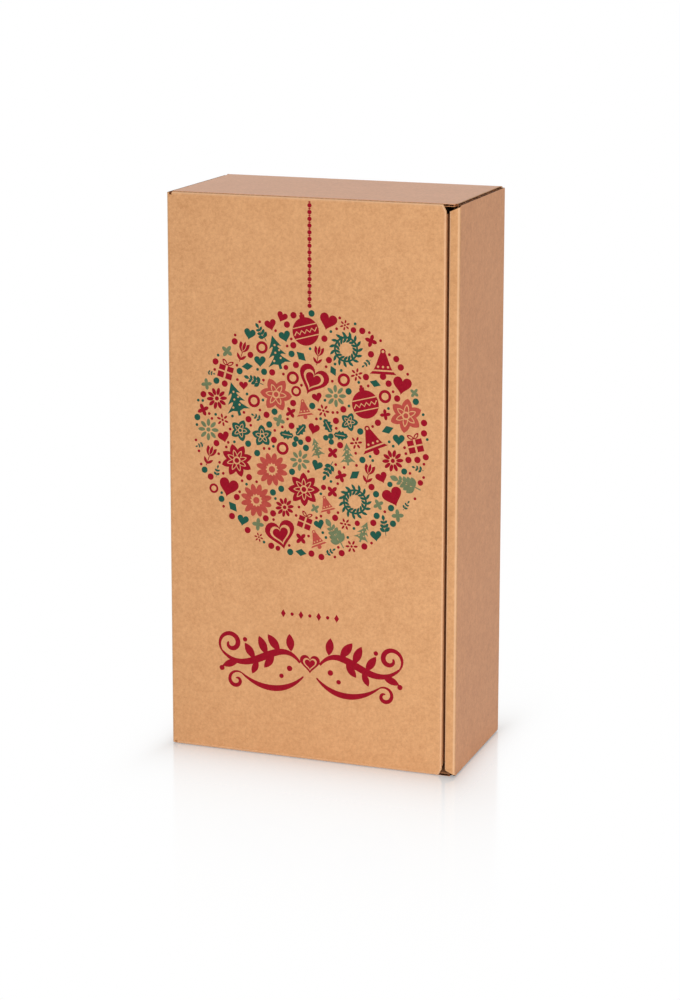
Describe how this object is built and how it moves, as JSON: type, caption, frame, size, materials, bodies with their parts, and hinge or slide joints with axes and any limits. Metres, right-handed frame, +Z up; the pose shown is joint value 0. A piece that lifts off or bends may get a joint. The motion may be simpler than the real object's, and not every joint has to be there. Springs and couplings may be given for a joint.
{
  "type": "cardboard wine box",
  "caption": "Upright kraft cardboard gift box for wine bottles, with a printed lid that opens sideways, a tuck flap, dust flaps and a folded divider.",
  "frame": {"origin": "middle of the footprint, on the surface that the box stands on", "axes": "+Z up along the bottles, the lid faces -Y, the lid's hinge fold is at -X and the rolled closing wall at +X"},
  "size_m": [0.186, 0.095, 0.35],
  "materials": {
    "kraft_board": "uncoated brown kraft liner on fine-flute corrugated board",
    "printed_board": "uncoated brown kraft liner with a two-colour flat print",
    "divider_board": "uncoated brown kraft liner, inner quality"
  },
  "bodies": {
    "tray": {"back_panel": "kraft_board", "hinge_wall": "kraft_board", "closing_wall_outer": "kraft_board", "closing_wall_strip": "kraft_board", "closing_wall_inner": "kraft_board", "end_wall_top": "kraft_board", "end_wall_bottom": "kraft_board", "ear_top_left": "kraft_board", "ear_top_right": "kraft_board", "ear_bottom_left": "kraft_board", "ear_bottom_right": "kraft_board", "divider_web_left": "divider_board", "divider_web_right": "divider_board", "divider_ridge": "divider_board", "divider_foot_left": "divider_board", "divider_foot_right": "divider_board"},
    "lid": {"lid_panel": "printed_board"},
    "tuck": {"tuck_flap": "kraft_board"},
    "dust_top": {"dust_flap_top": "kraft_board"},
    "dust_bottom": {"dust_flap_bottom": "kraft_board"}
  },
  "joints": [
    {"name": "lid_hinge", "type": "hinge", "parent": "tray", "child": "lid", "pos_m": [-0.0911, -0.0456, 0.175], "axis": [0, 0, -1], "range_deg": [0, 180]},
    {"name": "tuck_crease", "type": "hinge", "parent": "lid", "child": "tuck", "pos_m": [0.0838, -0.0448, 0.175], "axis": [0, 0, -1], "range_deg": [0, 18]},
    {"name": "dust_top_crease", "type": "hinge", "parent": "lid", "child": "dust_top", "pos_m": [-0.00475, -0.0448, 0.3473], "axis": [1, 0, 0], "range_deg": [0, 18]},
    {"name": "dust_bottom_crease", "type": "hinge", "parent": "lid", "child": "dust_bottom", "pos_m": [-0.00475, -0.0448, 0.0027], "axis": [-1, 0, 0], "range_deg": [0, 18]}
  ],
  "couplings": [
    {"joint": "tuck_crease", "follows": "lid_hinge", "ratio": 0.1},
    {"joint": "dust_top_crease", "follows": "lid_hinge", "ratio": 0.1},
    {"joint": "dust_bottom_crease", "follows": "lid_hinge", "ratio": 0.1}
  ]
}
